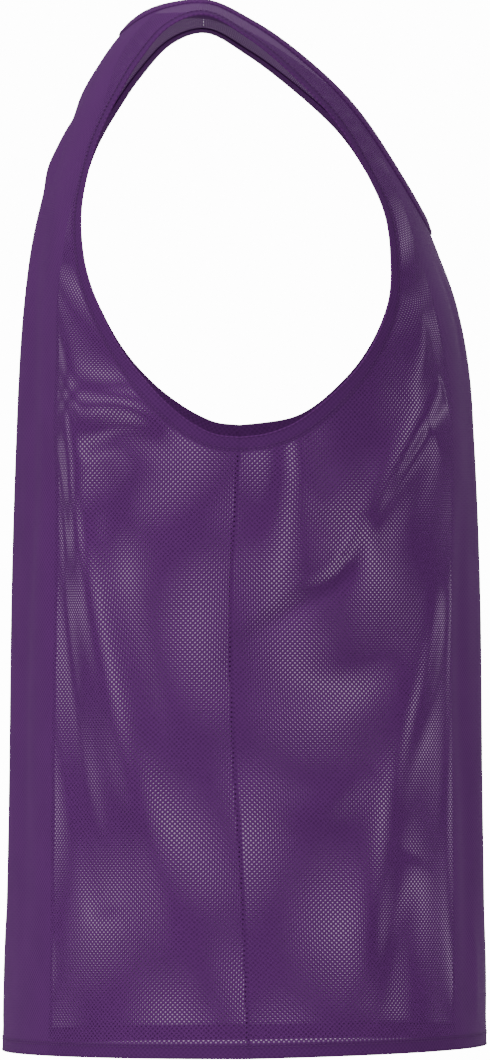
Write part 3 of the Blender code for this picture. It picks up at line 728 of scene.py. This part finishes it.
def node(tree, kind, inputs=None, **settings):
    """Adds a node with its settings, and gives its sockets their values or links."""
    made = tree.nodes.new(kind)
    for key, value in settings.items():
        setattr(made, key, value)
    for socket, value in (inputs or {}).items():
        if isinstance(value, bpy.types.NodeSocket):
            tree.links.new(value, made.inputs[socket])
        else:
            made.inputs[socket].default_value = value
    return made


def ramp(tree, value, low, high, start=0.0, end=1.0, **settings):
    """A number that goes from start to end as the value goes from low to high."""
    return node(tree, "ShaderNodeMapRange", {
        "Value": value, "From Min": low, "From Max": high, "To Min": start, "To Max": end},
        **settings).outputs["Result"]


def reckon(tree, operation, *values):
    """The result of a sum or a product."""
    return node(tree, "ShaderNodeMath", dict(enumerate(values)),
                operation=operation).outputs["Value"]


def between(tree, share, first, second):
    """A colour between two colours."""
    return node(tree, "ShaderNodeMix", {"Factor": share, "A": (*first, 1.0), "B": (*second, 1.0)},
                data_type="RGBA").outputs["Result"]


def new_finish(name, **even):
    """A new material with its node tree and its shader, and what is even all over it."""
    finish = bpy.data.materials.new(name)
    finish.use_nodes = True
    shader = finish.node_tree.nodes["Principled BSDF"]
    for socket, value in even.items():
        shader.inputs[socket.replace("_", " ")].default_value = value
    return finish, finish.node_tree, shader


def knit_pattern(tree, across, up):
    """The cloth's place on the knit, the distance from the nearest hole's middle, and the height of
    the diagonal ribs of yarn between the holes.

    Staggered rows of holes are a square net turned by 45 degrees: as many again fall between rows.
    """
    uv = node(tree, "ShaderNodeUVMap", uv_map="cloth").outputs["UV"]
    net = node(tree, "ShaderNodeMapping", {
        "Vector": uv, "Rotation": (0.0, 0.0, math.radians(45.0)),
        "Scale": (math.sqrt(2.0) / across, math.sqrt(2.0) / up, 1.0)},
        vector_type="POINT").outputs["Vector"]
    hole = node(tree, "ShaderNodeTexVoronoi", {"Vector": net, "Scale": 1.0, "Randomness": 0.0},
                voronoi_dimensions="2D", feature="F1").outputs["Distance"]
    return uv, hole, ramp(tree, hole, *RIB_RISE, interpolation_type="SMOOTHSTEP")


def knit_surface(tree, shader, rib, relief, bump, smoothest):
    """Gives a shader the relief of a knit, and a gloss that is lower in its hollows."""
    rough = ramp(tree, rib, 0.0, 1.0, ROUGHEST, smoothest)
    tree.links.new(rough, shader.inputs["Roughness"])
    raised = node(tree, "ShaderNodeBump", {"Height": relief, "Strength": bump,
                                           "Distance": RELIEF_DEPTH * MM})
    tree.links.new(raised.outputs["Normal"], shader.inputs["Normal"])


def faded(tree, value, fades, operation):
    """Combines a value with fades."""
    for fade in fades:
        distance = node(tree, "ShaderNodeAttribute", attribute_name=fade.number).outputs["Fac"]
        value = reckon(tree, operation, value, ramp(tree, distance, *fade[1:]))
    return value


def knit_polyester_mesh(sizes, colours):
    """Warp-knitted polyester mesh, piece-dyed: matt yarn with a faint sheen, and small round holes
    in staggered rows that show what lies behind, so two layers of it make slow bright patches."""
    finish, tree, shader = new_finish("knit_polyester_mesh", **MATT_YARN,
                                      Sheen_Tint=(*colours.cloth, 1.0))
    across, up = sizes.hole_across / MM, sizes.hole_up / MM
    uv, hole, rib = knit_pattern(tree, across, up)

    radius = 0.5 * sizes.hole_width / MM / (math.sqrt(across * up) / math.sqrt(2.0))
    gap = ramp(tree, hole, HOLE_EDGE[0] * radius, HOLE_EDGE[1] * radius, 1.0 - FILAMENTS, 0.0)
    gap = faded(tree, gap, OPENNESS, "MULTIPLY")
    tree.links.new(reckon(tree, "SUBTRACT", 1.0, gap), shader.inputs["Alpha"])

    # The colour is darker in the stitches' hollows, a painted shade, and the yarn takes the dye a
    # little unevenly.
    patch = node(tree, "ShaderNodeTexNoise", {
        "Vector": uv, "Scale": 1.0 / PATCH_SIZE, "Detail": 3.0, "Roughness": 0.55},
        noise_dimensions="2D").outputs["Fac"]
    shade = reckon(tree, "MULTIPLY_ADD", rib, 0.45, 0.4)
    shade = reckon(tree, "MULTIPLY_ADD", patch, 0.25, shade)
    # Painted shade: the fades darken the colour at the hems, in the open mesh and along the seams.
    hue = between(tree, faded(tree, shade, PAINTED_SHADE, "MULTIPLY"), colours.deep, colours.cloth)
    tree.links.new(hue, shader.inputs["Base Color"])
    knit_surface(tree, shader, rib, faded(tree, rib, RELIEF, "ADD"), 0.4, 0.66)
    return finish


def doubled_knit(sizes, colours):
    """The same knit doubled, for hems, binding and seam allowances: no light gets through, and the
    surface is flatter."""
    finish, tree, shader = new_finish("doubled_knit", **MATT_YARN,
                                      Sheen_Tint=(*colours.doubled, 1.0))
    across = sizes.hole_across / MM
    rib = knit_pattern(tree, across, across)[-1]
    # The colour is darker in the stitches' hollows, a painted shade.
    shade = reckon(tree, "MULTIPLY_ADD", rib, 0.45, 0.55)
    hue = between(tree, shade, colours.deep, colours.doubled)
    tree.links.new(hue, shader.inputs["Base Color"])
    knit_surface(tree, shader, rib, rib, 0.3, 0.7)
    return finish


def spun_polyester_thread(colour):
    """Spun polyester sewing thread, dyed to match: two plies twisted. Its colour is a little lighter
    than the cloth, a painted highlight for where it lies on top and catches the light."""
    finish, tree, shader = new_finish("spun_polyester_thread", Roughness=0.6,
                                      Specular_IOR_Level=0.2)
    uv = node(tree, "ShaderNodeUVMap", uv_map="cloth").outputs["UV"]
    # The twist's grooves are a painted shade, drawn at 1.2 mm a turn, coarser than the real 0.4 mm,
    # so that they show at all.
    twist = node(tree, "ShaderNodeTexWave", {"Vector": uv, "Scale": 0.26, "Distortion": 0.4},
                 bands_direction="DIAGONAL").outputs["Fac"]
    tree.links.new(between(tree, twist, [0.7 * c for c in colour], colour),
                   shader.inputs["Base Color"])
    return finish


def painted_board(colour):
    """A matt white painted board for the floor: even, soft and almost without gloss."""
    finish, tree, shader = new_finish("painted_board", Roughness=0.8)
    # The paint's speckles are 2.5 mm wide.
    place = node(tree, "ShaderNodeTexCoord").outputs["Object"]
    speckle = node(tree, "ShaderNodeTexNoise", {"Vector": place, "Scale": 400.0,
                                                "Detail": 2.0}).outputs["Fac"]
    tree.links.new(between(tree, speckle, [0.97 * c for c in colour], colour),
                   shader.inputs["Base Color"])
    return finish


def finish_of(make, *facts):
    """The material that a function makes, made once."""
    return bpy.data.materials.get(make.__name__) or make(*facts)


# ---- the studio, in metres ----------------------------------------------------------------------
FLOOR_Z = -0.75
FLOOR_RADIUS = 0.95        # it ends just below the camera's view, so the picture's ground is white
LIT_PLACE = Vector((0.0, -0.03, -0.4))
SoftLight = namedtuple("SoftLight", "name width place")
SOFT_LIGHTS = (SoftLight("key", 1.4, (-1.7, 2.1, 1.2)), SoftLight("fill", 2.4, (-2.6, -1.5, 0.0)),
               SoftLight("far", 2.4, (2.6, -0.8, 0.3)), SoftLight("top", 1.6, (-0.4, 0.2, 2.6)))
# Real cloth lets light soak through it. Three small lamps inside the bib stand for that.
INNER_HEIGHTS = (-0.6, -0.45, -0.3)
INNER_SOFTNESS = 0.06
CAMERA_AIM = Vector((0.0, -0.0286, -0.3505))
CAMERA_HEIGHT = -0.221


def make_floor(scene):
    net = bmesh.new()
    bmesh.ops.create_circle(net, cap_ends=True, cap_tris=False, segments=96, radius=FLOOR_RADIUS)
    bmesh.ops.translate(net, verts=net.verts, vec=(0.0, LIT_PLACE.y, FLOOR_Z))
    mesh = bpy.data.meshes.new("floor")
    net.to_mesh(mesh)
    net.free()
    mesh.materials.append(finish_of(painted_board, linear(STUDIO_WHITE)))
    floor = bpy.data.objects.new("floor", mesh)
    scene.collection.objects.link(floor)


def make_surroundings(scene, studio):
    """White surroundings that light the bib evenly.

    Seen directly they are overexposed, as a studio's lit backdrop is, and through the holes of the
    cloth they are dimmed by its fine filaments.
    """
    scene.world = bpy.data.worlds.new("white_surroundings")
    scene.world.use_nodes = True
    tree = scene.world.node_tree
    path = node(tree, "ShaderNodeLightPath").outputs
    seen = ramp(tree, path["Transparent Depth"], 0.4, 0.6, studio.backdrop, studio.through)
    strength = node(tree, "ShaderNodeMix", {"Factor": path["Is Camera Ray"], "A": studio.sky,
                                            "B": seen}).outputs["Result"]
    hue = between(tree, path["Transparent Depth"], (1.0, 1.0, 1.0), studio.through_hue)
    tree.links.new(hue, tree.nodes["Background"].inputs["Color"])
    tree.links.new(strength, tree.nodes["Background"].inputs["Strength"])


def point_at(thing, place):
    """Turns a light or a camera so that it looks at a place."""
    thing.rotation_mode = "QUATERNION"
    thing.rotation_quaternion = (place - thing.location).to_track_quat("-Z", "Y")


def add_light(scene, name, kind, power, place):
    """A new light of that kind at a place."""
    lamp = bpy.data.lights.new(name, kind)
    lamp.energy = power
    light = bpy.data.objects.new(name, lamp)
    light.location = place
    scene.collection.objects.link(light)
    return light


def make_lights(scene, studio):
    for soft in SOFT_LIGHTS:
        power = getattr(studio, soft.name + "_power")
        light = add_light(scene, soft.name, "AREA", power, soft.place)
        light.data.shape, light.data.size = "DISK", soft.width
        point_at(light, LIT_PLACE)
    for number, height in enumerate(INNER_HEIGHTS):
        light = add_light(scene, "inside_%d" % number, "POINT", studio.inner_power,
                          (0.0, LIT_PLACE.y, height))
        light.data.shadow_soft_size = INNER_SOFTNESS
        light.visible_camera = False


def make_camera(scene, studio):
    """The camera, out of the right side at chest height, with the bib filling its frame."""
    lens = bpy.data.cameras.new("camera")
    camera = bpy.data.objects.new("camera", lens)
    camera.location = (-studio.camera_away, CAMERA_AIM.y, CAMERA_HEIGHT)
    point_at(camera, CAMERA_AIM)
    lens.sensor_fit, lens.sensor_width = "AUTO", 36.0
    lens.lens = lens.sensor_width * (CAMERA_AIM - camera.location).length / studio.frame_height
    scene.collection.objects.link(camera)
    scene.camera = camera


# ---- the add-on ---------------------------------------------------------------------------------
def quantity(name, description, default, unit="NONE"):
    """A number that the user can change."""
    return bpy.props.FloatProperty(name=name, description=description, default=default, unit=unit)


def tint(name, description, hex_colour):
    """A colour that the user can change."""
    return bpy.props.FloatVectorProperty(name=name, description=description, size=3,
                                         subtype="COLOR", default=linear(hex_colour))


class BibSizes(bpy.types.PropertyGroup):
    """Sizes of the cloth that a user would change."""

    hole_across: quantity("Hole spacing across", "Between holes of one row", 3.4 * MM, "LENGTH")
    hole_up: quantity("Hole spacing up", "Between every second row of holes", 3.25 * MM, "LENGTH")
    hole_width: quantity("Hole width", "Diameter of one hole", 1.35 * MM, "LENGTH")
    net_step: quantity("Net step", "Distance between the points of a panel's mesh", 4.5 * MM,
                       "LENGTH")


class BibColours(bpy.types.PropertyGroup):
    """Colours of the cloth and its thread."""

    cloth: tint("Cloth", "The dyed yarn", PURPLE)
    deep: tint("Deep shade", "Between the yarns", PURPLE_DEEP)
    doubled: tint("Doubled cloth", "Hems, binding and seam allowances", PURPLE_DOUBLE)
    thread: tint("Thread", "The sewing thread", THREAD)


class StudioSettings(bpy.types.PropertyGroup):
    """The camera's place and the light."""

    camera_away: quantity("Camera distance", "From the middle of the bib, out of its right side",
                          15.5, "LENGTH")
    frame_height: quantity("Frame height", "Height of the picture at the bib", 0.7229, "LENGTH")
    key_power: quantity("Key light", "Soft light from behind and above", 46.0, "POWER")
    fill_power: quantity("Fill light", "Broad light from the front and the right side", 22.0,
                         "POWER")
    far_power: quantity("Far light", "Broad light from the front and the left side", 18.0, "POWER")
    top_power: quantity("Top light", "Soft light from straight above", 26.0, "POWER")
    sky: quantity("Surroundings", "How much the white surroundings light the bib", 0.45)
    backdrop: quantity("Backdrop", "How bright the surroundings look directly", 14.0)
    through: quantity("Through the holes", "How bright they look through the cloth", 0.7)
    through_hue: tint("Hue through the holes", "What the filaments in the holes leave of white",
                      THROUGH_HUE)
    inner_power: quantity("Light inside", "Each lamp that stands for light soaking through", 0.35,
                          "POWER")


def mount_piece(made, slot, *nodes):
    """Lets a piece ride on the bib's body, and hides the solids it stands for. Its material slot is
    not used.
    """
    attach(made, "root")
    if nodes:
        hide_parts(*nodes)


def doubled_finish(scene):
    return finish_of(doubled_knit, scene.bib_sizes, scene.bib_colours)


class BIB_OT_panels(bpy.types.Operator):
    """Make the two body panels"""

    bl_idname = "bib.panels"
    bl_label = "Body Panels"

    def execute(self, context):
        sizes, colours = context.scene.bib_sizes, context.scene.bib_colours
        finish = finish_of(knit_polyester_mesh, sizes, colours)
        for name in ("front", "back"):
            made, area = make_panel(panel_of(name), sizes.net_step / MM, finish)
            mount_piece(made, "mesh_cloth", name + "_panel")
            made["flat_area"] = area
        return {"FINISHED"}


class BIB_OT_hems(bpy.types.Operator):
    """Make the turned hems of the armholes and the bottom"""

    bl_idname = "bib.hems"
    bl_label = "Hems"

    def execute(self, context):
        finish = doubled_finish(context.scene)
        (front, front_edge), (back, back_edge) = edge_pair("armhole")
        for name, side in (("left", 1.0), ("right", -1.0)):
            rows = ring_of([hem_stretch(front, front_edge, TURNED_HEM, side, True),
                            hem_stretch(back, back_edge, TURNED_HEM, side, False)])
            made = sweep("armhole_hem_band_" + name, rows, TURNED_HEM, finish, True)
            mount_piece(made, "hem_cloth", "armhole_hem_" + name)
        rows = round_body("bottom", TURNED_HEM, False)
        made = sweep("bottom_hem_band", rows, TURNED_HEM, finish, True)
        mount_piece(made, "hem_cloth", "bottom_hem")
        return {"FINISHED"}


class BIB_OT_binding(bpy.types.Operator):
    """Make the folded binding of the neck"""

    bl_idname = "bib.binding"
    bl_label = "Neck Binding"

    def execute(self, context):
        rows = round_body("neck", FOLDED_BINDING, True)
        made = sweep("neck_binding_band", rows, FOLDED_BINDING, doubled_finish(context.scene), True)
        mount_piece(made, "hem_cloth", "neck_binding")
        return {"FINISHED"}


class BIB_OT_seams(bpy.types.Operator):
    """Make the seam allowances inside the sides"""

    bl_idname = "bib.seams"
    bl_label = "Seam Allowances"

    def execute(self, context):
        for name, side in (("left", 1.0), ("right", -1.0)):
            made = side_allowance("side_seam_" + name, side, doubled_finish(context.scene))
            mount_piece(made, "hem_cloth")
        return {"FINISHED"}


class BIB_OT_stitches(bpy.types.Operator):
    """Make the rows of stitches of the hems and the binding"""

    bl_idname = "bib.stitches"
    bl_label = "Stitches"

    def execute(self, context):
        finish = finish_of(spun_polyester_thread, context.scene.bib_colours.thread)
        for name, kind, sides, rows in (
                ("armhole_stitches_left", "armhole", (1.0,), COVERSTITCH),
                ("armhole_stitches_right", "armhole", (-1.0,), COVERSTITCH),
                ("bottom_stitches", "bottom", (-1.0, 1.0), COVERSTITCH),
                ("neck_stitches", "neck", (-1.0, 1.0), BINDING_STITCH)):
            pairs = []
            for inset, height in rows:
                section = ((inset, height), (inset, height + 1.0))
                for side in sides:
                    for panel, edge in edge_pair(kind):
                        stretch = hem_stretch(panel, edge, section, side, True)
                        pairs.append(np.moveaxis(stretch, 1, 0))
            mount_piece(add_stitches(name, pairs, finish), "hem_cloth")
        return {"FINISHED"}


class BIB_OT_declare(bpy.types.Operator):
    bl_idname = "bib.declare"
    bl_label = "Declare Sheets"

    def execute(self, context):
        on_front = ["armhole_hem_band_left", "armhole_hem_band_right", "bottom_hem_band",
                    "neck_binding_band", "armhole_stitches_left", "armhole_stitches_right",
                    "bottom_stitches", "neck_stitches"]
        on_back = ["side_seam_left", "side_seam_right"]
        for name, with_pieces in (("front", on_front), ("back", on_back)):
            panel, made = panel_of(name), bpy.data.objects[name + "_cloth"]
            width = 2.0 * float(panel.seam(np.linspace(0.0, UNDERARM, SEAM_SAMPLES)).max()) * MM
        return {"FINISHED"}


class BIB_OT_studio(bpy.types.Operator):
    """Make the floor, the light and the camera"""

    bl_idname = "bib.studio"
    bl_label = "Studio"

    def execute(self, context):
        scene, studio = context.scene, context.scene.bib_studio
        make_floor(scene)
        make_surroundings(scene, studio)
        make_lights(scene, studio)
        make_camera(scene, studio)
        return {"FINISHED"}


class BIB_PT_sidebar(bpy.types.Panel):
    """Lists the sizes, the colours and what can be made"""

    bl_label = "Training Bib"
    bl_idname = "BIB_PT_sidebar"
    bl_space_type = "VIEW_3D"
    bl_region_type = "UI"
    bl_category = "Bib"

    def draw(self, context):
        scene = context.scene
        for group in (scene.bib_sizes, scene.bib_colours, scene.bib_studio):
            box = self.layout.box()
            for name in group.__annotations__:
                box.prop(group, name)
        for step in STEPS:
            self.layout.operator(step.bl_idname)


STEPS = (BIB_OT_panels, BIB_OT_hems, BIB_OT_binding, BIB_OT_seams, BIB_OT_stitches, BIB_OT_declare,
         BIB_OT_studio)
CLASSES = (BibSizes, BibColours, StudioSettings, *STEPS, BIB_PT_sidebar)


def register():
    for made in CLASSES:
        bpy.utils.register_class(made)
    bpy.types.Scene.bib_sizes = bpy.props.PointerProperty(type=BibSizes)
    bpy.types.Scene.bib_colours = bpy.props.PointerProperty(type=BibColours)
    bpy.types.Scene.bib_studio = bpy.props.PointerProperty(type=StudioSettings)


def unregister():
    del bpy.types.Scene.bib_sizes, bpy.types.Scene.bib_colours, bpy.types.Scene.bib_studio
    for made in reversed(CLASSES):
        bpy.utils.unregister_class(made)


def main():
    register()
    bpy.ops.bib.panels()
    bpy.ops.bib.hems()
    bpy.ops.bib.binding()
    bpy.ops.bib.seams()
    bpy.ops.bib.stitches()
    bpy.ops.bib.declare()
    bpy.ops.bib.studio()


if __name__ == "__main__":
    main()
